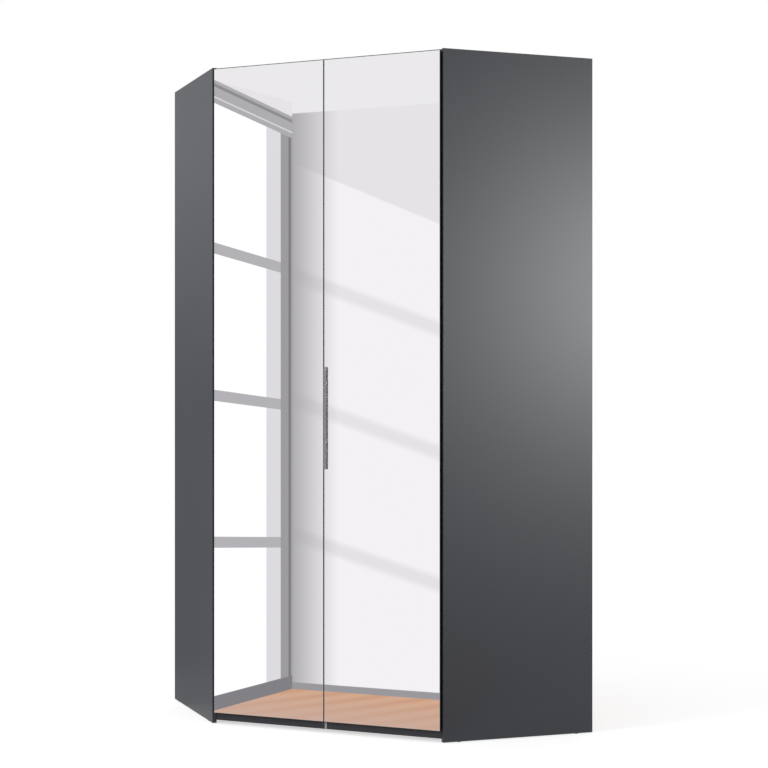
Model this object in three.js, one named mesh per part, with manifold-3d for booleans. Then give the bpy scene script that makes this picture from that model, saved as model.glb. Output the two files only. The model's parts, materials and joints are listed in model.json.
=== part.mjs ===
// Corner wardrobe with two mirrored doors across the corner, in millimetres, +Z up.
// Seen from above it is a square with its front corner cut off. The doors face -Y,
// and the corner of the room is at +Y. The origin is at the bottom centre.

import * as THREE from 'three';
import { mergeVertices } from 'three/addons/utils/BufferGeometryUtils.js';
import Module from 'manifold-3d';

const wasm = await Module();
wasm.setup();

// Overall sizes
const HEIGHT = 2360;
const WALL_LENGTH = 1201;
const SIDE_DEPTH = 564;

// Boards and clearances
const BOARD = 16;
const SEAT_GAP = 0.3;
const OVERRUN = 1;

// Backs and the grooves that hold them
const BACK = 3;
const GROOVE = 3.4;
const GROOVE_SET = 15;
const GROOVE_DEPTH = 8;
const BACK_BOTTOM = 20;
const BACK_TOP_DROP = 5;
const POST = 45;

// Places of the flat boards
const FRONT_SET = 17;
const BOTTOM_UNDERSIDE = 36.8;
const HAT_SPACE = 368;
const SHELF_SET = 90;
const SHELF_BEHIND_GAP = 1;

// Plinth and the rails under the bottom panel
const PLINTH_BOTTOM = 12.3;
const PLINTH_SET = 11.8;
const STRIP_WEB = 2;
const STRIP_FLANGE_WIDTH = 8;
const STRIP_FLANGE = 1;
const RAIL_BOARD_OUT = 470;
const RAIL_BOARD_RIGHT_OUT = 240;

// Glides
const GLIDE = 2;
const GLIDE_RADIUS = 7;
const GLIDE_CHAMFER = 0.5;
const GLIDE_INSET = 60;
const ROUND_SMALL = 12;

// Doors
const DOOR_BOTTOM = 41.3;
const DOOR_TOP_DROP = 7;
const DOOR_FRONT = 6;
const MIRROR = 4;
const MIRROR_INSET = 10.5;
const MIRROR_OVERHANG = 2.5;
const MIRROR_ARRIS = 1.2;
const MEETING_GAP = 3.9;

// Hinges, measured from the outer front corner: inset along the front, and behind it
const HINGE_COUNT = 4;
const HINGE_END_DISTANCE = 120;
const ARM_PIN_INSET = 61;
const ARM_PIN_BEHIND = 22.5;
const CUP_PIN_INSET = 27.5;
const CUP_PIN_BEHIND = 10.3;
const CUP_EDGE_DISTANCE = 3;
const CUP_RADIUS = 17.5;
const CUP_DEPTH = 11.5;
const CUP_WALL = 1;
const CUP_SLOT_HALF = 7.4;
const CUP_CLEARANCE = 0.2;
const FLANGE = 1;
const FLANGE_LIP = 1.5;
const FLANGE_HALF_WIDTH = 9;
const FLANGE_SCREW_REACH = 24;
const FLANGE_SCREW_OFFSET = 7;
const FLANGE_EAR = 5.5;
const SCREW_HEAD_RADIUS = 3.2;
const SCREW_HEAD_HEIGHT = 0.9;
const LINK_THICKNESS = 2.6;
const LINK_HALF_HEIGHT = 5;
const LINK_BOSS = 3;
const PIN_RADIUS = 1.5;
const PIN_RUN = 0.25;
const PIN_END_GAP = 0.4;
const CUP_PIN_HALF_LENGTH = 10;
const ARM_HALF_HEIGHT = 8;
const ARM_HALF_WIDTH = 4.4;
const ARM_BACK_INSET = -6;
const ARM_BACK_BEHIND = 39;
const FORK_HALF_GAP = 5.5;
const FORK_REACH = 16;
const FOOT_START = 20;
const FOOT_LENGTH = 44;
const FOOT = 4;
const FOOT_PLATE = 2.5;
const FOOT_PLATE_HALF_HEIGHT = 22;
const FOOT_SCREW_HEIGHT = 15;

// Handle, on the meeting edge of the right door
const HANDLE_BOTTOM = 923;
const HANDLE_LENGTH = 357;
const HANDLE_SET = 1.2;
const HANDLE_WIDTH = 10;
const HANDLE_DEPTH = 9;
const HANDLE_BASE = 2.4;
const HANDLE_STEM = 3;
const HANDLE_LIP = 2.2;
const HANDLE_LIP_RADIUS = 1.2;
const HANDLE_SHOULDER = 3;
const HANDLE_SCREW_INSET = 7.7;
const HANDLE_SCREW_END = 40;
const HANDLE_SCREW_RADIUS = 2;
const HANDLE_SCREW_CLEARANCE = 0.3;
const HANDLE_SCREW_BITE = 1.6;
const HANDLE_SCREW_HEAD_RADIUS = 4;
const HANDLE_SCREW_HEAD = 2;

// Shelf pins and the rows of holes for them
const PIN_HOLE_RADIUS = 2.6;
const PIN_HOLE_DEPTH = 10;
const PIN_SHAFT_CLEARANCE = 0.2;
const PIN_HOLE_PITCH = 32;
const PIN_HOLES_EACH_WAY = 2;
const PIN_ROW_FRONT = 110;
const PIN_ROW_BACK = 470;
const PIN_HEAD_RADIUS = 4;
const PIN_HEAD_LENGTH = 8;

// Clothes rail under the hat shelf
const CLOTHES_RAIL_LENGTH = 1120;
const CLOTHES_RAIL_RADIUS = 12.5;
const CLOTHES_RAIL_WALL = 1.2;
const CLOTHES_RAIL_BEHIND = 470;
const CLOTHES_RAIL_DROP = 62;
const HANGER_WIDTH = 16;
const HANGER_WALL = 2.5;
const HANGER_RUN = 0.25;
const HANGER_STEM = 6;
const HANGER_PLATE_HALF = 24;
const HANGER_END_DISTANCE = 90;
const CAP_FLANGE = 2;
const CAP_OVERLAP = 0.8;
const CAP_SPIGOT = 9;
const CAP_SPIGOT_RUN = 0.2;
const ROUND_LARGE = 22;

// Plain trigonometry of the square plan
const DIAGONAL = Math.SQRT1_2;
const HALF_FRONT = (WALL_LENGTH - SIDE_DEPTH) * DIAGONAL;
const ROOM_CORNER = (WALL_LENGTH + SIDE_DEPTH) * DIAGONAL;
const INNER_CORNER = BOARD * DIAGONAL;
const ORIGIN_BEHIND = (ROOM_CORNER - DOOR_FRONT - HANDLE_DEPTH) / 2;
const SIDES = [{ name: 'left', sign: -1 }, { name: 'right', sign: 1 }];

// Derived heights
const DOOR_TOP = HEIGHT - DOOR_TOP_DROP;
const DOOR_HEIGHT = DOOR_TOP - DOOR_BOTTOM;
const DOOR_BACK = BOARD + MIRROR - DOOR_FRONT;
const BOTTOM_TOP = BOTTOM_UNDERSIDE + BOARD;
const TOP_UNDERSIDE = HEIGHT - BOARD;
const CUP_INSET = MIRROR_INSET + MIRROR_OVERHANG + CUP_EDGE_DISTANCE + CUP_RADIUS;
const PLINTH_TOP = BOTTOM_UNDERSIDE - SEAT_GAP;
const BACK_TOP = HEIGHT - BACK_TOP_DROP;
const SHELF_UNDERSIDE = TOP_UNDERSIDE - HAT_SPACE - BOARD;
const SHELF_PIN_HEIGHT = SHELF_UNDERSIDE - SEAT_GAP - PIN_HEAD_RADIUS;
const CLOTHES_RAIL_HEIGHT = SHELF_UNDERSIDE - CLOTHES_RAIL_DROP;
const HANDLE_SCREW_X = MEETING_GAP / 2 + HANDLE_SCREW_INSET;
const HANDLE_SCREW_HEIGHTS = [
  HANDLE_BOTTOM + HANDLE_SCREW_END, HANDLE_BOTTOM + HANDLE_LENGTH - HANDLE_SCREW_END,
];

// Hinge heights, shared out evenly between the two end ones
const HINGE_HEIGHTS = Array.from({ length: HINGE_COUNT }, (_, index) => (
  DOOR_BOTTOM + HINGE_END_DISTANCE
    + index * (DOOR_HEIGHT - 2 * HINGE_END_DISTANCE) / (HINGE_COUNT - 1)
));

// A point in plan, from the outer front corner of a side: inset along the front, and behind it
function fromFront(sign, inset, behind) {
  return new THREE.Vector2(sign * (HALF_FRONT - inset), behind);
}

// A point in plan, from the room corner: along a side's wall, and out from that wall
function fromWall(sign, along, out) {
  return new THREE.Vector2(sign * (along - out) * DIAGONAL, ROOM_CORNER - (along + out) * DIAGONAL);
}

// A point in plan, from a side panel's inner front corner: back along its face, and off the face
function fromInnerFace(sign, back, off) {
  const inset = INNER_CORNER + (off - back) * DIAGONAL;
  return fromFront(sign, inset, INNER_CORNER + (off + back) * DIAGONAL);
}

// An upright prism with its outline in plan
function prism(outline, bottom, top, holes = []) {
  const shape = Array.isArray(outline) ? new THREE.Shape(outline) : outline;
  shape.holes.push(...holes);
  const geometry = new THREE.ExtrudeGeometry(shape, {
    depth: top - bottom, bevelEnabled: false, curveSegments: ROUND_SMALL,
  });
  return geometry.translate(0, 0, bottom);
}

// A cylinder along Z that starts at z, with its axis at a point in plan
function upright(radius, point, bottom, top, segments = ROUND_SMALL) {
  const geometry = new THREE.CylinderGeometry(radius, radius, top - bottom, segments);
  return geometry.rotateX(Math.PI / 2).translate(point.x, point.y, (bottom + top) / 2);
}

// A cylinder along Y from front to back
function level(radius, x, z, front, back, segments = ROUND_SMALL) {
  const geometry = new THREE.CylinderGeometry(radius, radius, back - front, segments);
  return geometry.translate(x, (front + back) / 2, z);
}

// A box between two corners
function block(low, high) {
  const geometry = new THREE.BoxGeometry(high[0] - low[0], high[1] - low[1], high[2] - low[2]);
  return geometry.translate((low[0] + high[0]) / 2, (low[1] + high[1]) / 2, (low[2] + high[2]) / 2);
}

// Joining and cutting
function toSolid(geometry) {
  const bare = geometry.clone();
  bare.deleteAttribute('normal');
  bare.deleteAttribute('uv');
  const merged = mergeVertices(bare);
  return new wasm.Manifold(new wasm.Mesh({
    numProp: 3,
    vertProperties: new Float32Array(merged.attributes.position.array),
    triVerts: new Uint32Array(merged.index.array),
  }));
}

function toGeometry(solid) {
  const mesh = solid.getMesh();
  const geometry = new THREE.BufferGeometry();
  geometry.setAttribute('position', new THREE.BufferAttribute(mesh.vertProperties, 3));
  geometry.setIndex(new THREE.BufferAttribute(mesh.triVerts, 1));
  geometry.computeVertexNormals();
  return geometry;
}

function join(...geometries) {
  return toGeometry(geometries.map(toSolid).reduce((whole, piece) => whole.add(piece)));
}

function cut(geometry, ...tools) {
  return toGeometry(tools.map(toSolid).reduce((rest, tool) => rest.subtract(tool), toSolid(geometry)));
}

// Materials
const finishes = {
  graphite_board: { color: 0x5c5e61, roughness: 0.45, metalness: 0 },
  hardboard: { color: 0x8a6848, roughness: 0.7, metalness: 0 },
  mirror: { color: 0xe8ebea, roughness: 0.03, metalness: 1 },
  dark_metal: { color: 0x4b4a49, roughness: 0.35, metalness: 1 },
  nickel_steel: { color: 0xb9b7b2, roughness: 0.28, metalness: 1 },
  grey_plastic: { color: 0xb4b6b8, roughness: 0.45, metalness: 0 },
  black_plastic: { color: 0x1d1d1e, roughness: 0.5, metalness: 0 },
};

const wardrobe = new THREE.Group();
wardrobe.position.y = -ORIGIN_BEHIND;

function add(parent, name, geometry, finish, place = [0, 0, 0]) {
  const mesh = new THREE.Mesh(geometry, new THREE.MeshStandardMaterial(finishes[finish]));
  mesh.name = name;
  mesh.position.set(...place);
  parent.add(mesh);
}

// Side panels, with a groove for the back and rows of holes for the shelf pins
function pinHoleCutter(sign, back, z) {
  const length = PIN_HOLE_DEPTH + OVERRUN;
  const hole = new THREE.CylinderGeometry(PIN_HOLE_RADIUS, PIN_HOLE_RADIUS, length, ROUND_SMALL);
  const middle = fromInnerFace(sign, back, (OVERRUN - PIN_HOLE_DEPTH) / 2);
  return hole.rotateZ(sign * Math.PI / 4).translate(middle.x, middle.y, z);
}

function sidePanel(sign) {
  const inner = WALL_LENGTH - BOARD;
  const outline = [
    [inner, 0], [WALL_LENGTH, 0], [WALL_LENGTH, SIDE_DEPTH], [inner, SIDE_DEPTH],
    [inner, GROOVE_SET + GROOVE], [inner + GROOVE_DEPTH, GROOVE_SET + GROOVE],
    [inner + GROOVE_DEPTH, GROOVE_SET], [inner, GROOVE_SET],
  ].map(([along, out]) => fromWall(sign, along, out));
  const holes = [];
  for (const row of [PIN_ROW_FRONT, PIN_ROW_BACK]) {
    for (let step = -PIN_HOLES_EACH_WAY; step <= PIN_HOLES_EACH_WAY; step++) {
      holes.push(pinHoleCutter(sign, row, SHELF_PIN_HEIGHT + step * PIN_HOLE_PITCH));
    }
  }
  return cut(prism(outline, GLIDE, HEIGHT), ...holes);
}

// Flat boards that fill the plan between the side panels, from a front line back to the backs
function planBoard(frontSet, postNotch) {
  const backFace = GROOVE_SET + GROOVE + SHELF_BEHIND_GAP;
  const panelFace = WALL_LENGTH - BOARD - SEAT_GAP;
  const faceInset = 2 * INNER_CORNER + SEAT_GAP / DIAGONAL - frontSet;
  const notch = POST + SEAT_GAP;
  const outline = [fromFront(1, faceInset, frontSet), fromWall(1, panelFace, backFace)];
  if (postNotch) {
    outline.push(fromWall(1, notch, backFace), fromWall(1, notch, notch), fromWall(-1, notch, backFace));
  } else {
    outline.push(fromWall(1, backFace, backFace));
  }
  outline.push(fromWall(-1, panelFace, backFace), fromFront(-1, faceInset, frontSet));
  return outline;
}

// Backs, in the grooves of the side panels and of the corner post
function backSheet(sign) {
  const near = POST - GROOVE_DEPTH + SEAT_GAP;
  const far = WALL_LENGTH - BOARD + GROOVE_DEPTH - SEAT_GAP;
  const low = GROOVE_SET + (GROOVE - BACK) / 2;
  const outline = [[near, low], [far, low], [far, low + BACK], [near, low + BACK]];
  return prism(outline.map(([along, out]) => fromWall(sign, along, out)), BACK_BOTTOM, BACK_TOP);
}

function cornerPost() {
  const open = GROOVE_SET + GROOVE;
  const deep = POST - GROOVE_DEPTH;
  const half = [
    [POST, 0], [POST, GROOVE_SET], [deep, GROOVE_SET], [deep, open], [POST, open], [POST, POST],
  ];
  const right = half.map(([along, out]) => fromWall(1, along, out));
  const left = half.slice(0, -1).reverse().map(([along, out]) => fromWall(-1, along, out));
  return prism([fromWall(1, 0, 0), ...right, ...left], GLIDE, TOP_UNDERSIDE - SEAT_GAP);
}

// Plinth halves and the H-shaped strip between them
function plinthHalf(sign) {
  const back = PLINTH_SET + BOARD;
  const reach = 2 * INNER_CORNER + SEAT_GAP / DIAGONAL;
  const middle = STRIP_WEB / 2 + SEAT_GAP;
  const outline = [
    fromFront(sign, reach - PLINTH_SET, PLINTH_SET), fromFront(sign, reach - back, back),
    new THREE.Vector2(sign * middle, back), new THREE.Vector2(sign * middle, PLINTH_SET),
  ];
  return prism(outline, PLINTH_BOTTOM, PLINTH_TOP);
}

function plinthStrip() {
  const web = STRIP_WEB / 2;
  const wide = STRIP_FLANGE_WIDTH / 2;
  const front = PLINTH_SET - SEAT_GAP;
  const back = PLINTH_SET + BOARD + SEAT_GAP;
  const right = [
    [wide, front - STRIP_FLANGE], [wide, front], [web, front],
    [web, back], [wide, back], [wide, back + STRIP_FLANGE],
  ];
  const left = right.map(([x, y]) => [-x, y]).reverse();
  return prism([...right, ...left].map(([x, y]) => new THREE.Vector2(x, y)), PLINTH_BOTTOM, PLINTH_TOP);
}

// Rails on edge under the bottom panel, square to the side panels
function floorRail(sign, out, near) {
  const far = WALL_LENGTH - BOARD - SEAT_GAP;
  const corners = [[near, out], [far, out], [far, out + BOARD], [near, out + BOARD]];
  const outline = corners.map(([along, off]) => fromWall(sign, along, off));
  return prism(outline, GLIDE, BOTTOM_UNDERSIDE - SEAT_GAP);
}

function glide() {
  const profile = [
    [0, 0], [GLIDE_RADIUS - GLIDE_CHAMFER, 0], [GLIDE_RADIUS, GLIDE_CHAMFER],
    [GLIDE_RADIUS, GLIDE], [0, GLIDE],
  ];
  const points = profile.map(([radius, z]) => new THREE.Vector2(radius, z));
  return new THREE.LatheGeometry(points, ROUND_SMALL).rotateX(Math.PI / 2);
}

// Shelf pins, pushed into the side panels, with the shelf resting on their heads
function shelfPin(sign, back) {
  const shaft = PIN_HOLE_RADIUS - PIN_SHAFT_CLEARANCE;
  const profile = [
    [0, SEAT_GAP - PIN_HOLE_DEPTH], [shaft, SEAT_GAP - PIN_HOLE_DEPTH], [shaft, SEAT_GAP],
    [PIN_HEAD_RADIUS, SEAT_GAP], [PIN_HEAD_RADIUS, PIN_HEAD_LENGTH], [0, PIN_HEAD_LENGTH],
  ];
  const points = profile.map(([radius, along]) => new THREE.Vector2(radius, along));
  const place = fromInnerFace(sign, back, 0);
  const pin = new THREE.LatheGeometry(points, ROUND_SMALL);
  return pin.rotateZ(sign * Math.PI / 4).translate(place.x, place.y, SHELF_PIN_HEIGHT);
}

// Clothes rail, its end caps, and the hangers that hold it under the hat shelf
function clothesRail() {
  const tube = new THREE.Shape().absarc(0, 0, CLOTHES_RAIL_RADIUS, 0, 2 * Math.PI);
  const bore = new THREE.Path().absarc(0, 0, CLOTHES_RAIL_RADIUS - CLOTHES_RAIL_WALL, 0, 2 * Math.PI, true);
  const geometry = prism(tube, -CLOTHES_RAIL_LENGTH / 2, CLOTHES_RAIL_LENGTH / 2, [bore]);
  return geometry.rotateY(Math.PI / 2).translate(0, CLOTHES_RAIL_BEHIND, CLOTHES_RAIL_HEIGHT);
}

function railCap(sign) {
  const spigot = CLOTHES_RAIL_RADIUS - CLOTHES_RAIL_WALL - CAP_SPIGOT_RUN;
  const flange = CLOTHES_RAIL_RADIUS + CAP_OVERLAP;
  const profile = [
    [0, -CAP_SPIGOT], [spigot, -CAP_SPIGOT], [spigot, SEAT_GAP], [flange, SEAT_GAP],
    [flange, CAP_FLANGE / 2], [flange - CAP_FLANGE / 2, CAP_FLANGE], [0, CAP_FLANGE],
  ];
  const points = profile.map(([radius, along]) => new THREE.Vector2(radius, along));
  const cap = new THREE.LatheGeometry(points, ROUND_LARGE).rotateZ(-sign * Math.PI / 2);
  return cap.translate(sign * CLOTHES_RAIL_LENGTH / 2, CLOTHES_RAIL_BEHIND, CLOTHES_RAIL_HEIGHT);
}

function railHanger() {
  const bore = CLOTHES_RAIL_RADIUS + HANGER_RUN;
  const ring = bore + HANGER_WALL;
  const plateTop = SHELF_UNDERSIDE - SEAT_GAP;
  const half = HANGER_WIDTH / 2;
  const rail = new THREE.Vector2(0, 0);
  const body = join(
    upright(ring, rail, -half, half, ROUND_LARGE).rotateY(Math.PI / 2),
    block([-half, -HANGER_STEM / 2, ring - HANGER_WALL / 2],
      [half, HANGER_STEM / 2, plateTop - CLOTHES_RAIL_HEIGHT - HANGER_WALL / 2]),
    block([-half, -HANGER_PLATE_HALF, plateTop - CLOTHES_RAIL_HEIGHT - HANGER_WALL],
      [half, HANGER_PLATE_HALF, plateTop - CLOTHES_RAIL_HEIGHT]),
  );
  const hole = upright(bore, rail, -half - OVERRUN, half + OVERRUN, ROUND_LARGE).rotateY(Math.PI / 2);
  return cut(body, hole);
}

// Doors: a board with cup holes and a mirror over its whole face
function meetingEdge(sign, inset) {
  return sign * (MEETING_GAP / 2 + inset);
}

function screwHoles(front, back) {
  const radius = HANDLE_SCREW_RADIUS + HANDLE_SCREW_CLEARANCE;
  return HANDLE_SCREW_HEIGHTS.map((z) => level(
    radius, HANDLE_SCREW_X, z, front - OVERRUN, back + OVERRUN,
  ));
}

function doorBoard(sign) {
  const hinge = fromFront(sign, MIRROR_INSET + MIRROR_OVERHANG, 0).x;
  const meeting = meetingEdge(sign, MIRROR_OVERHANG);
  const front = MIRROR - DOOR_FRONT;
  const board = block(
    [Math.min(hinge, meeting), front, DOOR_BOTTOM], [Math.max(hinge, meeting), DOOR_BACK, DOOR_TOP],
  );
  const cupX = fromFront(sign, CUP_INSET, 0).x;
  const cupFloor = DOOR_BACK - CUP_DEPTH - CUP_CLEARANCE;
  const cutters = HINGE_HEIGHTS.map((z) => level(
    CUP_RADIUS + CUP_CLEARANCE, cupX, z, cupFloor, DOOR_BACK + OVERRUN, ROUND_LARGE,
  ));
  if (sign > 0) cutters.push(...screwHoles(front, DOOR_BACK));
  return cut(board, ...cutters);
}

function doorMirror(sign) {
  const hinge = fromFront(sign, MIRROR_INSET, 0).x;
  const meeting = meetingEdge(sign, 0);
  const outline = [[hinge, DOOR_BOTTOM], [meeting, DOOR_BOTTOM], [meeting, DOOR_TOP], [hinge, DOOR_TOP]];
  const shape = new THREE.Shape(outline.map(([x, z]) => new THREE.Vector2(x, z)));
  const geometry = new THREE.ExtrudeGeometry(shape, {
    depth: MIRROR - 2 * MIRROR_ARRIS,
    bevelThickness: MIRROR_ARRIS,
    bevelSize: MIRROR_ARRIS,
    bevelOffset: -MIRROR_ARRIS,
    bevelSegments: 1,
    curveSegments: ROUND_SMALL / 2,
  });
  geometry.rotateX(Math.PI / 2).translate(0, MIRROR - MIRROR_ARRIS - DOOR_FRONT, 0);
  return sign > 0 ? cut(geometry, ...screwHoles(-DOOR_FRONT, MIRROR - DOOR_FRONT)) : geometry;
}

// Hinge cup, sunk in the door, with a flange and its two screws
function hingeCup(sign) {
  const centre = fromFront(sign, CUP_INSET, 0).x;
  const pin = fromFront(sign, CUP_PIN_INSET, CUP_PIN_BEHIND);
  const seat = DOOR_BACK + SEAT_GAP / 2;
  const floor = DOOR_BACK - CUP_DEPTH;
  const bore = CUP_RADIUS - CUP_WALL;
  const inward = -sign * FLANGE_SCREW_OFFSET;
  const body = join(
    level(CUP_RADIUS, centre, 0, floor, seat + FLANGE, ROUND_LARGE),
    level(CUP_RADIUS + FLANGE_LIP, centre, 0, seat, seat + FLANGE, ROUND_LARGE),
    ...[-1, 1].flatMap((way) => [
      block([centre + inward - FLANGE_EAR, seat, Math.min(0, way * FLANGE_SCREW_REACH)],
        [centre + inward + FLANGE_EAR, seat + FLANGE, Math.max(0, way * FLANGE_SCREW_REACH)]),
      level(FLANGE_EAR, centre + inward, way * FLANGE_SCREW_REACH, seat, seat + FLANGE),
      level(SCREW_HEAD_RADIUS, centre + inward, way * FLANGE_SCREW_REACH,
        seat + FLANGE / 2, seat + FLANGE + SCREW_HEAD_HEIGHT),
    ]),
  );
  const pocket = toGeometry(
    toSolid(level(bore, centre, 0, floor + CUP_WALL, seat + FLANGE + OVERRUN, ROUND_LARGE)).intersect(
      toSolid(block([centre - CUP_RADIUS, floor, -CUP_SLOT_HALF],
        [centre + CUP_RADIUS, seat + FLANGE + 2 * OVERRUN, CUP_SLOT_HALF]))),
  );
  const pinHole = CUP_PIN_HALF_LENGTH + PIN_END_GAP;
  return cut(body, pocket, upright(PIN_RADIUS + PIN_RUN, pin, -pinHole, pinHole));
}

// Hinge link, a bar with a boss and a pin at each end
function hingeLink(sign) {
  const armPin = fromFront(sign, ARM_PIN_INSET, ARM_PIN_BEHIND);
  const cupPin = fromFront(sign, CUP_PIN_INSET, CUP_PIN_BEHIND);
  const along = cupPin.clone().sub(armPin).normalize();
  const across = new THREE.Vector2(-along.y, along.x).multiplyScalar(LINK_THICKNESS / 2);
  const bar = [
    armPin.clone().add(across), cupPin.clone().add(across),
    cupPin.clone().sub(across), armPin.clone().sub(across),
  ];
  return join(
    prism(bar, -LINK_HALF_HEIGHT, LINK_HALF_HEIGHT),
    upright(LINK_BOSS, armPin, -LINK_HALF_HEIGHT, LINK_HALF_HEIGHT),
    upright(LINK_BOSS, cupPin, -LINK_HALF_HEIGHT, LINK_HALF_HEIGHT),
    upright(PIN_RADIUS, armPin, -ARM_HALF_HEIGHT, ARM_HALF_HEIGHT),
    upright(PIN_RADIUS, cupPin, -CUP_PIN_HALF_LENGTH, CUP_PIN_HALF_LENGTH),
  );
}

// Hinge arm, forked round the link, on an angled foot that is screwed to the side panel
function hingeArm(sign) {
  const pin = fromFront(sign, ARM_PIN_INSET, ARM_PIN_BEHIND);
  const back = fromFront(sign, ARM_BACK_INSET, ARM_BACK_BEHIND);
  const along = back.clone().sub(pin).normalize();
  const across = new THREE.Vector2(-along.y, along.x).multiplyScalar(ARM_HALF_WIDTH);
  const bar = [
    pin.clone().add(across), back.clone().add(across), back.clone().sub(across), pin.clone().sub(across),
  ];
  const footEnd = FOOT_START + FOOT_LENGTH;
  const wedge = [
    fromInnerFace(sign, FOOT_START, SEAT_GAP), fromInnerFace(sign, footEnd, SEAT_GAP),
    fromInnerFace(sign, footEnd, SEAT_GAP + FOOT), back.clone().sub(across), back.clone().add(across),
  ];
  const ordered = sign > 0 ? wedge : [wedge[0], wedge[1], wedge[2], wedge[4], wedge[3]];
  const plate = [
    fromInnerFace(sign, FOOT_START, SEAT_GAP), fromInnerFace(sign, footEnd, SEAT_GAP),
    fromInnerFace(sign, footEnd, SEAT_GAP + FOOT_PLATE),
    fromInnerFace(sign, FOOT_START, SEAT_GAP + FOOT_PLATE),
  ];
  const slotEnd = pin.clone().addScaledVector(along, FORK_REACH);
  const slotStart = pin.clone().addScaledVector(along, -2 * ARM_HALF_WIDTH);
  const wide = across.clone().multiplyScalar(2);
  const slot = [
    slotStart.clone().add(wide), slotEnd.clone().add(wide),
    slotEnd.clone().sub(wide), slotStart.clone().sub(wide),
  ];
  const screws = [-1, 1].map((way) => {
    const length = FOOT_PLATE + SCREW_HEAD_HEIGHT;
    const head = new THREE.CylinderGeometry(SCREW_HEAD_RADIUS, SCREW_HEAD_RADIUS, length, ROUND_SMALL);
    const middle = fromInnerFace(sign, (FOOT_START + footEnd) / 2, SEAT_GAP + length / 2);
    return head.rotateZ(sign * Math.PI / 4).translate(middle.x, middle.y, way * FOOT_SCREW_HEIGHT);
  });
  return cut(
    join(
      prism(bar, -ARM_HALF_HEIGHT, ARM_HALF_HEIGHT),
      upright(ARM_HALF_WIDTH, pin, -ARM_HALF_HEIGHT, ARM_HALF_HEIGHT),
      prism(ordered, -ARM_HALF_HEIGHT, ARM_HALF_HEIGHT),
      prism(plate, -FOOT_PLATE_HALF_HEIGHT, FOOT_PLATE_HALF_HEIGHT),
      ...screws,
    ),
    prism(slot, -FORK_HALF_GAP, FORK_HALF_GAP),
    upright(PIN_RADIUS + PIN_RUN, pin, -ARM_HALF_HEIGHT - OVERRUN, ARM_HALF_HEIGHT + OVERRUN),
  );
}

// Handle: an upright profile with a groove for the fingers, held by screws from the back of the door
function handleProfile() {
  const edge = MEETING_GAP / 2 + HANDLE_SET;
  const right = edge + HANDLE_WIDTH;
  const front = DOOR_FRONT + HANDLE_DEPTH;
  const lipBack = front - HANDLE_LIP;
  const shape = new THREE.Shape();
  shape.moveTo(edge, -DOOR_FRONT - SEAT_GAP);
  shape.lineTo(right, -DOOR_FRONT - SEAT_GAP);
  shape.lineTo(right, -DOOR_FRONT - HANDLE_BASE);
  shape.lineTo(edge + HANDLE_STEM, -DOOR_FRONT - HANDLE_BASE);
  shape.lineTo(edge + HANDLE_STEM, -lipBack);
  shape.lineTo(right, -lipBack);
  shape.lineTo(right, -front + HANDLE_LIP_RADIUS);
  shape.quadraticCurveTo(right, -front, right - HANDLE_LIP_RADIUS, -front);
  shape.lineTo(edge + HANDLE_SHOULDER, -front);
  shape.quadraticCurveTo(edge, -front, edge, -front + HANDLE_SHOULDER);
  const body = prism(shape, HANDLE_BOTTOM, HANDLE_BOTTOM + HANDLE_LENGTH);
  return cut(body, ...screwHoles(-DOOR_FRONT - HANDLE_SCREW_BITE - SEAT_GAP + OVERRUN, -DOOR_FRONT));
}

function handleScrew() {
  const start = DOOR_BACK + SEAT_GAP;
  return join(
    level(HANDLE_SCREW_RADIUS, HANDLE_SCREW_X, 0, -DOOR_FRONT - HANDLE_SCREW_BITE, start + OVERRUN),
    level(HANDLE_SCREW_HEAD_RADIUS, HANDLE_SCREW_X, 0, start, start + HANDLE_SCREW_HEAD),
  );
}

// Carcass
const carcass = new THREE.Group();
wardrobe.add(carcass);
for (const { name, sign } of SIDES) {
  add(carcass, `side_panel_${name}`, sidePanel(sign), 'graphite_board');
  add(carcass, `back_${name}`, backSheet(sign), 'hardboard');
  add(carcass, `plinth_${name}`, plinthHalf(sign), 'graphite_board');
  add(carcass, `rail_cap_${name}`, railCap(sign), 'black_plastic');
  const panelMiddle = WALL_LENGTH - BOARD / 2;
  const places = { front: SIDE_DEPTH - GLIDE_INSET, back: GLIDE_INSET };
  for (const [end, out] of Object.entries(places)) {
    const place = fromWall(sign, panelMiddle, out);
    add(carcass, `glide_${name}_${end}`, glide(), 'black_plastic', [place.x, place.y, 0]);
  }
  add(carcass, `shelf_pin_${name}_front`, shelfPin(sign, PIN_ROW_FRONT), 'nickel_steel');
  add(carcass, `shelf_pin_${name}_back`, shelfPin(sign, PIN_ROW_BACK), 'nickel_steel');
}
const postMiddle = fromWall(1, POST / 2, POST / 2);
add(carcass, 'glide_corner', glide(), 'black_plastic', [postMiddle.x, postMiddle.y, 0]);
add(carcass, 'corner_post', cornerPost(), 'graphite_board');
const topPlan = planBoard(FRONT_SET, false);
const bottomPlan = planBoard(FRONT_SET, true);
const shelfPlan = planBoard(SHELF_SET, true);
add(carcass, 'top_panel', prism(topPlan, TOP_UNDERSIDE, HEIGHT), 'graphite_board');
add(carcass, 'bottom_panel', prism(bottomPlan, BOTTOM_UNDERSIDE, BOTTOM_TOP), 'graphite_board');
add(carcass, 'hat_shelf', prism(shelfPlan, SHELF_UNDERSIDE, SHELF_UNDERSIDE + BOARD), 'graphite_board');
add(carcass, 'plinth_joint_strip', plinthStrip(), 'grey_plastic');
const railNear = GROOVE_SET + GROOVE + SHELF_BEHIND_GAP;
add(carcass, 'floor_rail_left', floorRail(-1, RAIL_BOARD_OUT, railNear), 'graphite_board');
const rightNear = RAIL_BOARD_OUT + BOARD + SEAT_GAP;
add(carcass, 'floor_rail_right', floorRail(1, RAIL_BOARD_RIGHT_OUT, rightNear), 'graphite_board');

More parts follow.
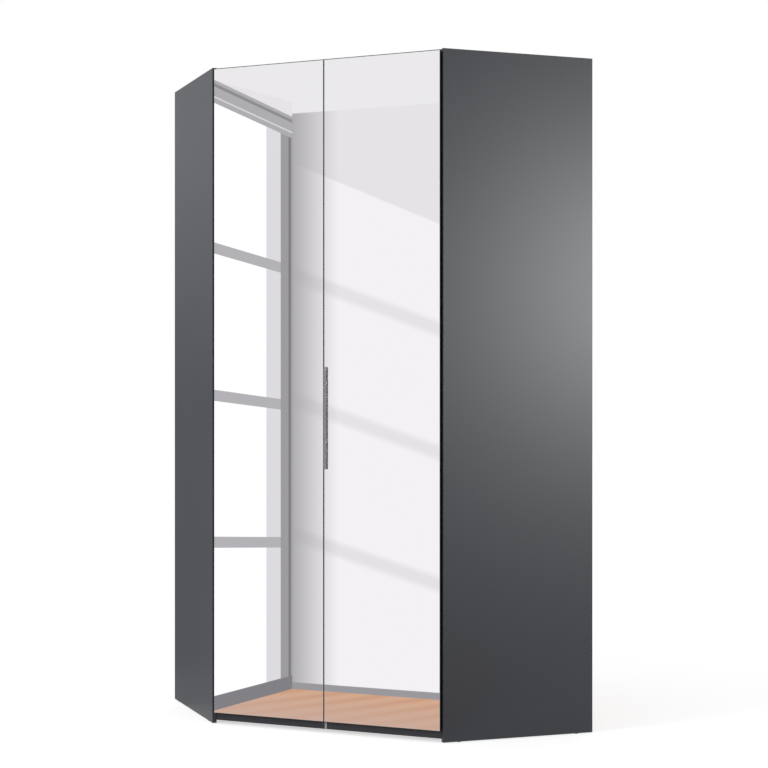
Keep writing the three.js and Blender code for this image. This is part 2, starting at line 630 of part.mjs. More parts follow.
// Clothes rail
add(carcass, 'clothes_rail', clothesRail(), 'nickel_steel');
const hangerReach = CLOTHES_RAIL_LENGTH / 2 - HANGER_END_DISTANCE;
const hangerPlaces = { left: -hangerReach, middle: 0, right: hangerReach };
for (const [name, x] of Object.entries(hangerPlaces)) {
  const place = [x, CLOTHES_RAIL_BEHIND, CLOTHES_RAIL_HEIGHT];
  add(carcass, `rail_hanger_${name}`, railHanger(), 'nickel_steel', place);
}

// Doors and their hinges
for (const { name, sign } of SIDES) {
  const door = new THREE.Group();
  wardrobe.add(door);
  add(door, `door_board_${name}`, doorBoard(sign), 'graphite_board');
  add(door, `door_mirror_${name}`, doorMirror(sign), 'mirror');
  HINGE_HEIGHTS.forEach((z, index) => {
    const number = index + 1;
    add(door, `hinge_cup_${name}_${number}`, hingeCup(sign), 'nickel_steel', [0, 0, z]);
    add(wardrobe, `hinge_link_${name}_${number}`, hingeLink(sign), 'nickel_steel', [0, 0, z]);
    add(wardrobe, `hinge_arm_${name}_${number}`, hingeArm(sign), 'nickel_steel', [0, 0, z]);
  });
  if (sign > 0) {
    add(door, 'handle', handleProfile(), 'dark_metal');
    HANDLE_SCREW_HEIGHTS.forEach((z, index) => {
      add(door, `handle_screw_${index + 1}`, handleScrew(), 'nickel_steel', [0, 0, z]);
    });
  }
}

export default wardrobe;
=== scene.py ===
# %% [markdown]
# # A mirrored corner wardrobe
# The wardrobe comes as a fixed frame of boards, mirrors and hinges, at real size and in metres.
# This lesson gives each of them its real finish, remakes the pieces whose edges catch the light,
# and sets up a plain studio with something for the mirrors to show.

# %% Load the frame
import json
import math
import bmesh
import bpy
from mathutils import Matrix, Vector


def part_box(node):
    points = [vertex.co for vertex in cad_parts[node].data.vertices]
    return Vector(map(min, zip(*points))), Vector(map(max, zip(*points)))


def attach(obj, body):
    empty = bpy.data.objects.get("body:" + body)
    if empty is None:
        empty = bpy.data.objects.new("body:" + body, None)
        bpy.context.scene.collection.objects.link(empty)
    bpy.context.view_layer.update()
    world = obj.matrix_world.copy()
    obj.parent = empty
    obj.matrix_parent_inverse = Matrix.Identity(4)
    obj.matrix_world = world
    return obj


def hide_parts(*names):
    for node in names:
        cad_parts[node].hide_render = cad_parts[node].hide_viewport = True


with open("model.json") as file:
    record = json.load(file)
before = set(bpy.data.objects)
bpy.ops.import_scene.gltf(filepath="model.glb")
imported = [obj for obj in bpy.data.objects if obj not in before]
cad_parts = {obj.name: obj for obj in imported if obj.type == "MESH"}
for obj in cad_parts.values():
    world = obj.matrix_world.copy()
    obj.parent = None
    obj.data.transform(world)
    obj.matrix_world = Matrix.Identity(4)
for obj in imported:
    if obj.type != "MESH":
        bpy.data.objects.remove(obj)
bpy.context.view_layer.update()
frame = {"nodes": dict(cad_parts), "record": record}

MM = 0.001
scene = bpy.context.scene
scene.view_settings.view_transform = "Standard"

# %% [markdown]
# The front of the wardrobe is a straight line across the corner of a room. Where that line is,
# and how tall the wardrobe is, can be read from the box of a side panel.

# %% Read the main places from the frame
panel_low, panel_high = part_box("side_panel_right")
CORNER_LINE = panel_low[1]
print("corner line y:", round(CORNER_LINE, 4), "height:", round(panel_high[2], 4))

# %% [markdown]
# The camera stands about 6.4 metres away and level, at about half the wardrobe's height, so that
# uprights stay upright. A long lens keeps the perspective calm, and a small upward shift frames
# the wardrobe without tilting the camera.

# %% Camera
CAMERA_RIGHT = 2.854
CAMERA_AWAY = 5.719
CAMERA_HEIGHT = 1.1765
CAMERA_HEADING = math.radians(24.654)
CAMERA_LENS = 85.65
CAMERA_SHIFT = 0.01647
camera_data = bpy.data.cameras.new("camera")
camera_data.lens = CAMERA_LENS
camera_data.shift_y = CAMERA_SHIFT
camera = bpy.data.objects.new("camera", camera_data)
camera.location = (CAMERA_RIGHT, CORNER_LINE - CAMERA_AWAY, CAMERA_HEIGHT)
camera.rotation_euler = (math.pi / 2, 0, CAMERA_HEADING)
scene.collection.objects.link(camera)
scene.camera = camera
print("camera at", tuple(round(c, 3) for c in camera.location))

# %% [markdown]
# Colours are chosen as sRGB hex values, the way a paint chart gives them, but a shader works with
# linear light. One function does the change for every material. Another adds a node: its settings,
# the values of its sockets, and what is linked to them. A colour mix keeps its colour sockets at
# the places named here.

# %% Helpers for colours and nodes
MIX_FACTOR, MIX_A, MIX_B, MIX_RESULT = 0, 6, 7, 2


def linear(hex_colour):
    # The curve of the sRGB standard, with its straight foot
    parts = [int(hex_colour[i:i + 2], 16) / 255 for i in (1, 3, 5)]
    light = [c / 12.92 if c <= 0.04045 else ((c + 0.055) / 1.055) ** 2.4 for c in parts]
    return (*light, 1.0)


def node(tree, kind, links=None, values=None, **settings):
    made = tree.nodes.new(kind)
    for key, value in settings.items():
        setattr(made, key, value)
    for key, value in (values or {}).items():
        made.inputs[key].default_value = value
    for key, source in (links or {}).items():
        tree.links.new(source, made.inputs[key])
    return made


# %% [markdown]
# Every finish starts from the general surface shader. Patterns lie on the object's own
# coordinates, in metres, so they keep their real size on every piece. A pattern can drive three
# things: the tone of a surface, how rough it is, and its relief.

# %% Helpers for finishes
def new_material(name, **sockets):
    material = bpy.data.materials.new(name)
    material.use_nodes = True
    shader = material.node_tree.nodes["Principled BSDF"]
    for key, value in sockets.items():
        shader.inputs[key.replace("_", " ")].default_value = value
    return material, material.node_tree, shader


def object_place(tree, scale=(1, 1, 1)):
    where = node(tree, "ShaderNodeTexCoord").outputs["Object"]
    return node(tree, "ShaderNodeMapping", {"Vector": where}, {"Scale": scale}).outputs["Vector"]


def two_tones(tree, shader, pattern, dark, light):
    tones = {MIX_A: linear(dark), MIX_B: linear(light)}
    mix = node(tree, "ShaderNodeMix", {MIX_FACTOR: pattern}, tones, data_type="RGBA")
    tree.links.new(mix.outputs[MIX_RESULT], shader.inputs["Base Color"])
    return mix.outputs[MIX_RESULT]


def vary_roughness(tree, shader, pattern, low, high):
    rough = node(tree, "ShaderNodeMapRange", {"Value": pattern}, {"To Min": low, "To Max": high})
    tree.links.new(rough.outputs["Result"], shader.inputs["Roughness"])


def relief(tree, shader, pattern, depth, strength):
    values = {"Strength": strength, "Distance": depth}
    bump = node(tree, "ShaderNodeBump", {"Height": pattern}, values)
    tree.links.new(bump.outputs["Normal"], shader.inputs["Normal"])


# %% [markdown]
# ## Graphite melamine board
# Chipboard faced with printed paper in melamine resin, pressed against a steel plate with a fine
# pearl texture. The eye sees a neutral dark grey with a broad, soft highlight, never a sharp one.
# The pearl is about 0.4 mm, too fine to show, so it is drawn at about 1.5 mm. The tone drifts a
# little over some 260 mm, as printed paper's does.

# %% Graphite board
PEARL = 1.5 * MM
PEARL_DEPTH = 0.12 * MM
CLOUD = 260 * MM


def graphite_board():
    material, tree, shader = new_material("graphite_melamine_board", Specular_IOR_Level=0.3)
    place = object_place(tree)
    pearl = node(tree, "ShaderNodeTexNoise", {"Vector": place}, {"Scale": 1 / PEARL, "Detail": 3.0})
    cloud = node(tree, "ShaderNodeTexNoise", {"Vector": place}, {"Scale": 1 / CLOUD, "Detail": 2.0})
    two_tones(tree, shader, cloud.outputs["Fac"], "#393c42", "#3e4147")
    vary_roughness(tree, shader, pearl.outputs["Fac"], low=0.38, high=0.48)
    relief(tree, shader, pearl.outputs["Fac"], PEARL_DEPTH, strength=0.12)
    return material


board = graphite_board()
print("material:", board.name)

# %% [markdown]
# ## Hardboard
# The backs are 3 mm hardboard: brown pressed fibre on the side that faces the wall, and a graphite
# foil on the side that faces the clothes. One sheet has both faces, so the material asks which way
# the surface points, in the object's own directions. Real flecks are some tenths of a millimetre,
# too fine to show, so they are drawn at 1.2 mm. Bundles of fibre are drawn 4 mm wide and about
# three times as tall.

# %% Hardboard
FIBRE = 4 * MM
FIBRE_UPRIGHT_SHARE = 0.35
FLECK = 1.2 * MM
FLECK_DEPTH = 0.2 * MM
FOIL = "#56585c"


def hardboard():
    material, tree, shader = new_material("hardboard_with_foil_face", Roughness=0.55)
    place = object_place(tree, (1, 1, FIBRE_UPRIGHT_SHARE))
    fibre = node(tree, "ShaderNodeTexNoise", {"Vector": place}, {"Scale": 1 / FIBRE, "Detail": 5.0})
    fleck = node(tree, "ShaderNodeTexNoise", {"Vector": place}, {"Scale": 1 / FLECK, "Detail": 2.0})
    brown = two_tones(tree, shader, fibre.outputs["Fac"], "#6b4a30", "#9a7450")
    direction = node(tree, "ShaderNodeTexCoord").outputs["Normal"]
    depth = node(tree, "ShaderNodeSeparateXYZ", {"Vector": direction}).outputs["Y"]
    inside = node(tree, "ShaderNodeMath", {0: depth}, {1: 0.0}, operation="LESS_THAN").outputs[0]
    faces = node(tree, "ShaderNodeMix", {MIX_FACTOR: inside, MIX_A: brown}, {MIX_B: linear(FOIL)},
                 data_type="RGBA")
    tree.links.new(faces.outputs[MIX_RESULT], shader.inputs["Base Color"])
    relief(tree, shader, fleck.outputs["Fac"], FLECK_DEPTH, strength=0.2)
    return material


back_board = hardboard()
print("material:", back_board.name)

# %% [markdown]
# ## Silvered mirror
# A mirror is float glass with silver and grey paint behind it. The silver gives back nearly
# everything, and a very faint wave in the glass bends it a little. The narrow ground bevel along
# the front edges is matt and nearly white, because it scatters light. The polished side edges are
# dark green: partly the glass's own green seen through its depth, partly painted shade for the dark
# gaps beside the doors where they sit. So face, bevel and side get a material each. The grit of the
# grinding is some 0.1 mm, too fine to show, so it is drawn at 1 mm.

# %% Mirror face, ground bevel and side edge
FLOAT_WAVE = 330 * MM
WAVE_DEPTH = 0.1 * MM
GRIT = 1.0 * MM
GRIT_DEPTH = 0.05 * MM


def mirror_face():
    material, tree, shader = new_material("silvered_float_glass", Metallic=1.0, Roughness=0.012)
    shader.inputs["Base Color"].default_value = linear("#f6f5f6")
    wave = node(tree, "ShaderNodeTexNoise", {"Vector": object_place(tree)},
                {"Scale": 1 / FLOAT_WAVE, "Detail": 1.0})
    relief(tree, shader, wave.outputs["Fac"], WAVE_DEPTH, strength=0.02)
    return material


def glass_edge(name, dark, light, roughness):
    material, tree, shader = new_material(name, Roughness=roughness)
    grit = node(tree, "ShaderNodeTexNoise", {"Vector": object_place(tree)},
                {"Scale": 1 / GRIT, "Detail": 2.0})
    two_tones(tree, shader, grit.outputs["Fac"], dark, light)
    relief(tree, shader, grit.outputs["Fac"], GRIT_DEPTH, strength=0.15)
    return material


mirror = mirror_face()
ground_bevel = glass_edge("ground_glass_bevel", "#c4cfcb", "#e2e8e6", roughness=0.45)
# Dark green side edges: the glass's own green, darkened with painted shade for the gaps beside the
# doors
side_edge = glass_edge("glass_side_edge_with_painted_shade", "#1d2825", "#2b3935", roughness=0.16)
print("materials:", mirror.name, ground_bevel.name, side_edge.name)

# %% [markdown]
# ## Metals
# The handle is an aluminium profile, brushed along its length and anodised dark. The dyed oxide on
# it hides most of the metal, so it is satin and only partly metallic. Its streaks are long one
# way. Real brush marks are about 0.2 mm apart, too fine to show, so they are drawn 1.5 mm apart.
# The hinges, rail and pins are steel with bright nickel on it, polished by tumbling, so they have
# a soft shine with faint scratches in no one direction. The scratches too are drawn coarser than
# they are, some 3 mm apart.

# %% Metals
BRUSH_WIDTH = 1.5 * MM
BRUSH_LENGTH = 150 * MM
SCRATCH = 3 * MM
SCRATCH_DEPTH = 0.03 * MM


def brushed_dark_aluminium():
    material, tree, shader = new_material("dark_anodised_brushed_aluminium", Metallic=0.25)
    place = object_place(tree, (1 / BRUSH_WIDTH, 1 / BRUSH_WIDTH, 1 / BRUSH_LENGTH))
    streaks = node(tree, "ShaderNodeTexNoise", {"Vector": place}, {"Scale": 1.0, "Detail": 2.0})
    two_tones(tree, shader, streaks.outputs["Fac"], "#848386", "#919093")
    vary_roughness(tree, shader, streaks.outputs["Fac"], low=0.36, high=0.46)
    return material


def nickel_plated_steel():
    material, tree, shader = new_material("nickel_plated_steel", Metallic=1.0)
    shader.inputs["Base Color"].default_value = linear("#c9c5bd")
    scratches = node(tree, "ShaderNodeTexNoise", {"Vector": object_place(tree)},
                     {"Scale": 1 / SCRATCH, "Detail": 6.0, "Roughness": 0.75})
    vary_roughness(tree, shader, scratches.outputs["Fac"], low=0.16, high=0.36)
    relief(tree, shader, scratches.outputs["Fac"], SCRATCH_DEPTH, strength=0.1)
    return material


handle_metal = brushed_dark_aluminium()
nickel = nickel_plated_steel()
print("materials:", handle_metal.name, nickel.name)

# %% [markdown]
# ## Moulded and extruded plastics
# Glides and rail caps are injection-moulded, with a fine spark-eroded grain. The strip between the
# plinth halves is a light grey extrusion. The grain is finer than a quarter of a millimetre, too
# fine to show, so it is drawn at 1 mm.

# %% Plastics
GRAIN = 1.0 * MM
GRAIN_DEPTH = 0.06 * MM


def grained_plastic(name, dark, light, roughness):
    material, tree, shader = new_material(name, Roughness=roughness)
    grain = node(tree, "ShaderNodeTexNoise", {"Vector": object_place(tree)},
                 {"Scale": 1 / GRAIN, "Detail": 3.0})
    two_tones(tree, shader, grain.outputs["Fac"], dark, light)
    relief(tree, shader, grain.outputs["Fac"], GRAIN_DEPTH, strength=0.2)
    return material


black_plastic = grained_plastic("moulded_black_polypropylene", "#17181a", "#222325", roughness=0.5)
grey_strip = grained_plastic("light_grey_extruded_pvc", "#a9abad", "#b7b9bb", roughness=0.4)
print("materials:", black_plastic.name, grey_strip.name)

# %% [markdown]
# The frame's record names a finish for every node. Each node of the frame keeps its shape and gets
# the material of its finish in all its slots.

# %% Dress the frame's own nodes
FINISHES = {
    "graphite_board": board,
    "mirror_glass": mirror,
    "hardboard": back_board,
    "dark_metal": handle_metal,
    "nickel_steel": nickel,
    "grey_trim": grey_strip,
    "black_plastic": black_plastic,
}
for row in frame["record"]["subparts"]:
    for slot in frame["nodes"][row["node"]].material_slots:
        slot.material = FINISHES[row["material_slot"]]

# %% [markdown]
# ## Making new pieces
# A new piece starts as a bmesh, is shaped with operators, and is turned into an object whose place
# is in its mesh. The object itself stays at the origin, unturned and unscaled. The bevel operator
# has other defaults than the editor, so one function gives it the editor's.

# %% Helpers for new pieces
def bevel_edges(work, edges, size, steps, **more):
    bmesh.ops.bevel(work, geom=edges, affect="EDGES", offset=size, segments=steps, profile=0.5,
                    material=-1, **more)


def finish_piece(name, work, materials, body, replaced, sharp_from):
    bmesh.ops.recalc_face_normals(work, faces=work.faces)
    mesh = bpy.data.meshes.new(name)
    work.to_mesh(mesh)
    work.free()
    for material in materials:
        mesh.materials.append(material)
    mesh.shade_smooth()
    mesh.set_sharp_from_angle(angle=sharp_from)
    piece = bpy.data.objects.new(name, mesh)
    scene.collection.objects.link(piece)
    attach(piece, body)
    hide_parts(replaced)
    print(name, "faces:", len(mesh.polygons))


# %% [markdown]
# ## Edged boards
# The boards carry a thin plastic edging whose corners a trimming cutter leaves slightly round. A
# corner without that round catches no light. So the boards that show take a copy of the frame's
# own mesh, merged and cleaned, and only their long sharp edges are rounded. Holes and slots stay
# as cut. Any bend over 10 degrees is shaded sharp, so that the large faces stay flat to the light.

# %% Edged boards
EDGING_ROUND = 0.8 * MM
WELD = 0.01 * MM
COPLANAR = math.radians(0.5)
LONG = 200 * MM
CORNER = math.radians(40)
FLAT_SHADED = math.radians(10)


def edged_board(name, source_name, body):
    source = frame["nodes"][source_name]
    work = bmesh.new()
    work.from_mesh(source.data)
    bmesh.ops.transform(work, matrix=source.matrix_world, verts=work.verts)
    bmesh.ops.remove_doubles(work, verts=work.verts, dist=WELD)
    bmesh.ops.dissolve_limit(work, angle_limit=COPLANAR, verts=work.verts, edges=work.edges)
    long_edges = [edge for edge in work.edges
                  if edge.calc_length() > LONG and edge.calc_face_angle(0) > CORNER]
    bevel_edges(work, long_edges, EDGING_ROUND, steps=3, clamp_overlap=True)
    finish_piece(name, work, [board], body, source_name, FLAT_SHADED)


for side in ("left", "right"):
    edged_board(f"edged_side_{side}", f"side_panel_{side}", "carcass")
    edged_board(f"edged_plinth_{side}", f"plinth_{side}", "carcass")
    edged_board(f"edged_door_{side}", f"door_board_{side}", f"door_{side}")
edged_board("edged_top", "top_panel", "carcass")
edged_board("edged_shelf", "hat_shelf", "carcass")

# %% [markdown]
# ## The two mirrors
# Each mirror is a 4 mm sheet whose front edges are ground off at 45 degrees. The narrow bevel
# catches light from the side and draws the thin bright line between the doors. A plain box is
# bevelled at its front edges only, and each face gets its material by how far it points forward:
# the mirror's face, the bevel, and then all the sides and the back.

# %% Mirrors
ARRIS = 1.0 * MM
NEAR = 0.1 * MM
FACE_FORWARD = 0.99
BEVEL_FORWARD = 0.5


def mirror_blank(low, high):
    blank = bmesh.new()
    bmesh.ops.create_cube(blank, size=1)
    size = Matrix.Diagonal((*(high - low), 1))
    shape = Matrix.Translation((low + high) / 2) @ size
    bmesh.ops.transform(blank, matrix=shape, verts=blank.verts)
    return blank


for side in ("left", "right"):
    low, high = (Vector(corner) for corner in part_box(f"door_mirror_{side}"))
    glass = mirror_blank(low, high)
    front = [e for e in glass.edges if all(abs(v.co.y - low.y) < NEAR for v in e.verts)]
    bevel_edges(glass, front, ARRIS, steps=1)
    glass.normal_update()
    for face in glass.faces:
        forward = -face.normal.y
        if forward > FACE_FORWARD:
            face.material_index = 0
        else:
            face.material_index = 1 if forward > BEVEL_FORWARD else 2
    finish_piece(f"mirror_sheet_{side}", glass, [mirror, ground_bevel, side_edge], f"door_{side}",
                 f"door_mirror_{side}", FLAT_SHADED)

# %% [markdown]
# ## The handle
# The handle is cut from one extruded aluminium profile: a stem at the door's edge, a base against
# the mirror and a lip in front, with a groove for the fingers between them. Four of its long edges
# are rounded, the shoulder more than the others, so a helper first finds the upright edges at given
# points of the plan.

# %% Find upright edges
UPRIGHT = 100 * MM


def upright_edges(work, *points):
    found = []
    for edge in work.edges:
        foot, head = (v.co for v in edge.verts)
        at_point = any((foot.xy - Vector(point)).length < NEAR for point in points)
        if at_point and abs(foot.z - head.z) > UPRIGHT:
            found.append(edge)
    return found


# %% [markdown]
# A few points give the outline of the profile's end, an extrusion gives the length, and bevels
# give the soft shoulder that the hand feels. The saw cuts at both ends keep a fine chamfer.

# %% Handle
BASE = 2.1 * MM
STEM = 3.0 * MM
LIP = 2.2 * MM
SHOULDER = 2.8 * MM
LIP_ROUND = 0.9 * MM
SAW_CHAMFER = 0.25 * MM
ROUND_SHADED = math.radians(35)


def handle_profile():
    low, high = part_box("handle")
    left, right, front, back = low[0], high[0], low[1], high[1]
    outline = [
        (left, back), (left, front), (right, front), (right, front + LIP),
        (left + STEM, front + LIP), (left + STEM, back - BASE), (right, back - BASE), (right, back),
    ]
    work = bmesh.new()
    end = work.faces.new([work.verts.new((x, y, low[2])) for x, y in outline])
    top = bmesh.ops.extrude_face_region(work, geom=[end])["geom"]
    rise = [v for v in top if isinstance(v, bmesh.types.BMVert)]
    bmesh.ops.translate(work, vec=(0, 0, high[2] - low[2]), verts=rise)
    bevel_edges(work, upright_edges(work, (left, front)), SHOULDER, steps=8)
    lip = upright_edges(work, (right, front), (right, front + LIP), (right, back - BASE))
    bevel_edges(work, lip, LIP_ROUND, steps=4)
    rims = [e for e in work.edges if abs(e.verts[0].co.z - e.verts[1].co.z) < NEAR]
    bevel_edges(work, rims, SAW_CHAMFER, steps=1)
    return work


finish_piece("handle_bar", handle_profile(), [handle_metal], "door_right", "handle",
             ROUND_SHADED)

# %% [markdown]
# ## Studio floor and background
# The floor is plain and pale and the background white. The camera, the metal and the mirrors see
# both as white, by a glow that only those rays meet, while the wardrobe's own shadow still falls on
# the floor.

# %% Studio floor
FLOOR_HALF = 30.0
FLOOR_GLOW = 0.62


def seen_rays(tree):
    path = node(tree, "ShaderNodeLightPath").outputs
    direct = {0: path["Is Camera Ray"], 1: path["Is Glossy Ray"]}
    first = node(tree, "ShaderNodeMath", direct, operation="MAXIMUM")
    both = {0: first.outputs[0], 1: path["Is Transmission Ray"]}
    return node(tree, "ShaderNodeMath", both, operation="MAXIMUM").outputs[0]


def stage_piece(name, work, material):
    mesh = bpy.data.meshes.new(name)
    work.to_mesh(mesh)
    work.free()
    mesh.materials.append(material)
    piece = bpy.data.objects.new(name, mesh)
    scene.collection.objects.link(piece)
    return piece


floor_paint, tree, shader = new_material("studio_floor_pale_paint", Roughness=0.9)
shader.inputs["Base Color"].default_value = linear("#e8e7e5")
shader.inputs["Emission Color"].default_value = linear("#ffffff")
glow = node(tree, "ShaderNodeMath", {0: seen_rays(tree)}, {1: FLOOR_GLOW}, operation="MULTIPLY")
tree.links.new(glow.outputs[0], shader.inputs["Emission Strength"])
floor_work = bmesh.new()
bmesh.ops.create_grid(floor_work, x_segments=1, y_segments=1, size=FLOOR_HALF)
stage_piece("studio_floor", floor_work, floor_paint)
print("floor is", 2 * FLOOR_HALF, "m square")

# %% [markdown]
# The world is white to the same rays. Everything else gets a softer, slightly cool fill from it.

# %% World
FILL = 0.5
world = bpy.data.worlds.new("studio")
world.use_nodes = True
scene.world = world
tree = world.node_tree
white = node(tree, "ShaderNodeBackground", {}, {"Color": linear("#ffffff"), "Strength": 1.0})
fill = node(tree, "ShaderNodeBackground", {}, {"Color": linear("#f2f4f8"), "Strength": FILL})
choice = {0: seen_rays(tree), 1: fill.outputs[0], 2: white.outputs[0]}
sky = node(tree, "ShaderNodeMixShader", choice)
tree.links.new(sky.outputs[0], tree.nodes["World Output"].inputs["Surface"])
print("world fill:", FILL)

# %% [markdown]
# ## A backdrop for the mirrors
# A mirror shows whatever stands before it, and before a bare white studio it looks like paper. So a
# paper room of a few large sheets stands before the doors, clear of them. Each sheet is painted: a
# ground tone, then bands over it. A band has the direction it is measured along, its level on that
# direction, its half width, its tone, and how soft its edges are. Only reflections meet the sheets.
# The sheets glow with their own tones and take no light, so the light and shade on them are
# painted, and what the mirrors show is a painted reflection of a room.

# %% Painted sheets
UP = (0, 0, 1)
CRISP = 1 * MM


def band(direction, level, half, tone, soft=CRISP):
    return direction, level, half, tone, soft


# A sheet glows with its painted tones and takes no light: its light and shade are painted.
def painted_paper(name, ground, bands, strength=1.0):
    material = bpy.data.materials.new(name)
    material.use_nodes = True
    tree = material.node_tree
    tree.nodes.clear()
    where = node(tree, "ShaderNodeTexCoord").outputs["Object"]
    colour = node(tree, "ShaderNodeRGB").outputs[0]
    colour.default_value = linear(ground)
    for direction, level, half, tone, soft in bands:
        along = node(tree, "ShaderNodeVectorMath", {0: where}, {1: direction},
                     operation="DOT_PRODUCT").outputs["Value"]
        offset = node(tree, "ShaderNodeMath", {0: along}, {1: level}, operation="SUBTRACT")
        distance = node(tree, "ShaderNodeMath", {0: offset.outputs[0]}, operation="ABSOLUTE")
        limits = {"From Min": half - soft, "From Max": half + soft, "To Min": 1.0, "To Max": 0.0}
        cover = node(tree, "ShaderNodeMapRange", {"Value": distance.outputs[0]}, limits)
        mix = node(tree, "ShaderNodeMix", {MIX_FACTOR: cover.outputs["Result"], MIX_A: colour},
                   {MIX_B: linear(tone)}, data_type="RGBA")
        colour = mix.outputs[MIX_RESULT]
    glow = node(tree, "ShaderNodeEmission", {"Color": colour}, {"Strength": strength})
    out = node(tree, "ShaderNodeOutputMaterial")
    tree.links.new(glow.outputs[0], out.inputs["Surface"])
    return material


# %% [markdown]
# A sheet starts as a metre square, which is a grid whose size, half its width, is 0.5. It is then
# stretched, turned to face the way it should and moved to its place. Every kind of ray but a
# reflection passes it by.

# %% Sheets of paper
def paper_sheet(name, paper, middle, facing, width, height):
    work = bmesh.new()
    bmesh.ops.create_grid(work, x_segments=1, y_segments=1, size=0.5)
    turn = Vector(facing).to_track_quat("Z", "Y").to_matrix().to_4x4()
    shape = Matrix.Translation(middle) @ turn @ Matrix.Diagonal((width, height, 1, 1))
    bmesh.ops.transform(work, matrix=shape, verts=work.verts)
    piece = stage_piece(name, work, paper)
    piece.visible_camera = False
    piece.visible_diffuse = False
    piece.visible_shadow = False
    piece.visible_transmission = False


# %% [markdown]
# The paper room is shallow: its far wall stands 0.82 m before the doors, and floor and ceiling
# reach from there to 30 mm before them. That is enough for what the camera sees, because the lines
# on the sheets are drawn as a deeper room would show them.

# %% Size of the paper room
ROOM_DEPTH = 0.82
ROOM_CLEAR = 0.03
ROOM_MIDDLE = 0.7
ROOM_WIDTH = 2.6
ROOM_TOP = 2.362
FLOOR_LIFT = 1 * MM
WALL_LINE = CORNER_LINE - ROOM_DEPTH
FLOOR_DEPTH = ROOM_DEPTH - ROOM_CLEAR
FLOOR_MIDDLE = WALL_LINE + FLOOR_DEPTH / 2
print("room from y", round(WALL_LINE, 3), "to", round(WALL_LINE + FLOOR_DEPTH, 3))

# %% [markdown]
# The wall that faces the doors is pale, with painted shade that darkens it toward its left end.
# Painted shade stands in for the light through the window beside it: a shaded top, and faint
# painted shadows of the window's bars that slant down to the right. The ceiling's tone ends it
# above and a grey skirting below.

# %% Far wall
WALL_HEIGHT = 4.0
CEILING_TONE = "#f3f2f4"
# Painted shade over the top of the wall
shaded_top = band((0.42, 0, 1), level=2.886, half=1.0, tone="#eeecef", soft=0.004)
# Painted shadows of the window's three bars, slanting down to the right
painted_bar_shadows = [
    band((slope, 0, 1), level, half=0.028, tone=tone, soft=0.014) for slope, level, tone in
    ((0.359, 1.472, "#eeecef"), (0.32, 0.989, "#eeecef"), (0.273, 0.474, "#edebee"))
]
# Painted shade, darker toward the wall's left end
painted_shade_left_end = band((1, 0, 0), level=-1.45, half=1.0, tone="#aeadb0", soft=0.11)
above_wall = band(UP, level=2.815, half=0.5, tone=CEILING_TONE)
skirting = band(UP, level=0, half=0.028, tone="#a09fa2")
wall_bands = [shaded_top, *painted_bar_shadows, painted_shade_left_end, above_wall, skirting]
wall_paper = painted_paper("room_wall_paper", "#fdfbfe", wall_bands)
wall_middle = (ROOM_MIDDLE, WALL_LINE, WALL_HEIGHT / 2)
paper_sheet("room_wall", wall_paper, wall_middle, (0, 1, 0), ROOM_WIDTH, WALL_HEIGHT)
print("wall bands:", len(wall_bands))

# %% [markdown]
# A pale ceiling and a warm floor close the room. The floor has soft plank lines at a slant, and a
# greyer tone fades in toward the doors.

# %% Ceiling and floor
PLANK = 0.16
PLANK_START = -1.4
PLANK_COUNT = 20
PLANK_LINE = 0.03
PLANK_ACROSS = (0.9, 0.44, 0)
plank_lines = [
    band(PLANK_ACROSS, PLANK * step + PLANK_START, PLANK_LINE, "#d3a182", soft=PLANK_LINE)
    for step in range(PLANK_COUNT)
]
near_doors = band((0, 1, 0), CORNER_LINE, ROOM_DEPTH / 2, "#cfb3a6", soft=ROOM_DEPTH / 2)
ceiling_paper = painted_paper("room_ceiling_paper", CEILING_TONE, [])
floor_paper = painted_paper("room_floor_paper", "#dbb193", [*plank_lines, near_doors])
levels = {"room_ceiling": (ceiling_paper, ROOM_TOP), "room_floor": (floor_paper, FLOOR_LIFT)}
for name, (paper, level) in levels.items():
    paper_sheet(name, paper, (ROOM_MIDDLE, FLOOR_MIDDLE, level), UP, ROOM_WIDTH, FLOOR_DEPTH)
print("plank lines:", len(plank_lines))

# %% [markdown]
# The left wall of the room is a tall window, nearly square to the doors: a sheet with a frame and
# three bars, which glows a little brighter than white as painted daylight. Upright bands start and
# end at shares of the way from the doors to the far wall. Level bands drop a little toward the far
# wall, which makes the room look deeper than it is.

# %% Bands across the window
DROP_MIDDLE_SHARE = 0.46


def upright_band(start, end, tone):
    level = CORNER_LINE - ROOM_DEPTH * (start + end) / 2
    return band((0, 1, 0), level, ROOM_DEPTH * (end - start) / 2, tone)


def level_band(low, high, drop, tone):
    middle = CORNER_LINE - ROOM_DEPTH * DROP_MIDDLE_SHARE
    return band((0, -drop, 1), (low + high) / 2 - drop * middle, (high - low) / 2, tone)


# %% [markdown]
# The glass ends in a pale reveal at the far side. Over it come the three bars, then the post and
# the head of the frame with their thin lines, and the sill.

# %% Window
WINDOW_NEAR = Vector((-0.592, CORNER_LINE, ROOM_TOP / 2))
WINDOW_FAR = Vector((-0.548, WALL_LINE, ROOM_TOP / 2))
WINDOW_FACING = (1, 0.054, 0)
# The window glows above white: painted daylight.
WINDOW_GLOW = 1.12
BAR_HALF = 0.021
HEAD_DROP = 0.107
pale_reveal = upright_band(0.757, 0.89, "#dad9dc")
bars = [
    level_band(height - BAR_HALF, height + BAR_HALF, drop, "#b1b0b3")
    for height, drop in ((1.722, 0.089), (1.172, 0.074), (0.622, 0.071))
]
frame_post = [upright_band(0.89, 1.1, "#9b9a9d"), upright_band(0.965, 0.985, "#79787b")]
frame_head = [
    level_band(low, high, HEAD_DROP, tone) for low, high, tone in
    ((2.3, 3.0, "#e2e1e3"), (2.263, 2.35, "#abaaad"), (2.325, 2.337, "#8b8a8e"),
     (2.283, 2.289, "#d5d4d7"))
]
sill = level_band(-0.1, 0.055, 0, "#807f83")
window_bands = [pale_reveal, *bars, *frame_post, *frame_head, sill]
window_paper = painted_paper("room_window_paper", "#ffffff", window_bands, WINDOW_GLOW)
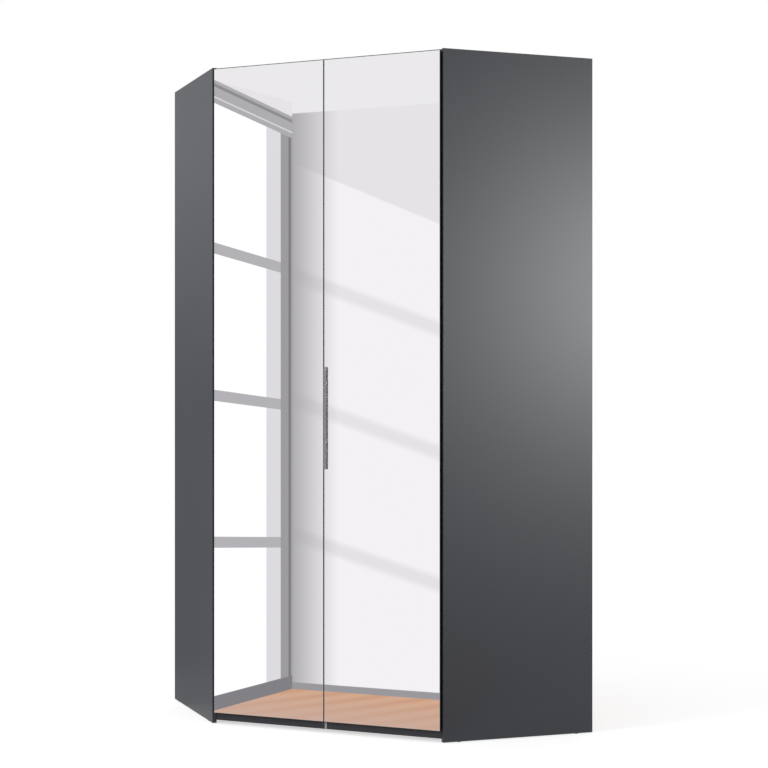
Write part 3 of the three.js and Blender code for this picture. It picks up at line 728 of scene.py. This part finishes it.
window_start = WINDOW_NEAR.lerp(WINDOW_FAR, ROOM_CLEAR / ROOM_DEPTH)
window_middle = (window_start + WINDOW_FAR) / 2
window_width = (window_start - WINDOW_FAR).length
paper_sheet("room_window", window_paper, window_middle, WINDOW_FACING, window_width, ROOM_TOP)
print("window bands:", len(window_bands))

# %% [markdown]
# At the back left, well clear of the wardrobe, a grey sheet and a paler one on the floor keep the
# glancing reflection on the left side panel quiet. They glow and take no light, so they are a
# painted reflection that darkens the panel, and the grey sheet grows paler toward its top, which
# paints the panel lighter higher up.

# %% Side sheets
SIDE_HEIGHT = 3.2
SIDE_MIDDLE = (-1.45, CORNER_LINE + 0.68, SIDE_HEIGHT / 2)
SIDE_FACING = (0.861, -0.509, 0)
SIDE_FLOOR_MIDDLE = (-1.35, CORNER_LINE + 0.45, FLOOR_LIFT)
# Painted reflection: the sheet grows paler toward its top, so the panel looks lighter higher up.
pale_top = band(UP, level=SIDE_HEIGHT, half=1.5, tone="#f6f7fa", soft=0.5)
side_paper = painted_paper("side_grey_paper", "#b5b6ba", [pale_top])
side_floor_paper = painted_paper("side_floor_paper", "#d2d3d6", [])
paper_sheet("side_wall", side_paper, SIDE_MIDDLE, SIDE_FACING, width=2.2, height=SIDE_HEIGHT)
paper_sheet("side_floor", side_floor_paper, SIDE_FLOOR_MIDDLE, UP, width=1.2, height=1.6)
print("side sheets ready")

# %% [markdown]
# ## Lights
# Soft area lights, as big softboxes. One high at the front left lights the whole front. One to the
# right gives no diffuse light, only gloss: the broad soft highlight on the right side panel.

# %% Lights
def softbox(name, place, target, size, power, gloss_only=False):
    data = bpy.data.lights.new(name, "AREA")
    data.shape = "RECTANGLE"
    data.size, data.size_y = size
    data.energy = power
    lamp = bpy.data.objects.new(name, data)
    lamp.location = place
    lamp.rotation_euler = (Vector(target) - Vector(place)).to_track_quat("-Z", "Y").to_euler()
    lamp.visible_diffuse = not gloss_only
    scene.collection.objects.link(lamp)


softbox("key_softbox", place=(-2.6, -5.0, 3.6), target=(0, 0, 1.1), size=(2.0, 2.0), power=85)
softbox("gloss_softbox", place=(3.9, CORNER_LINE - 0.33, 1.75),
        target=(0.8, CORNER_LINE + 0.3, 1.5), size=(1.0, 1.0), power=140, gloss_only=True)
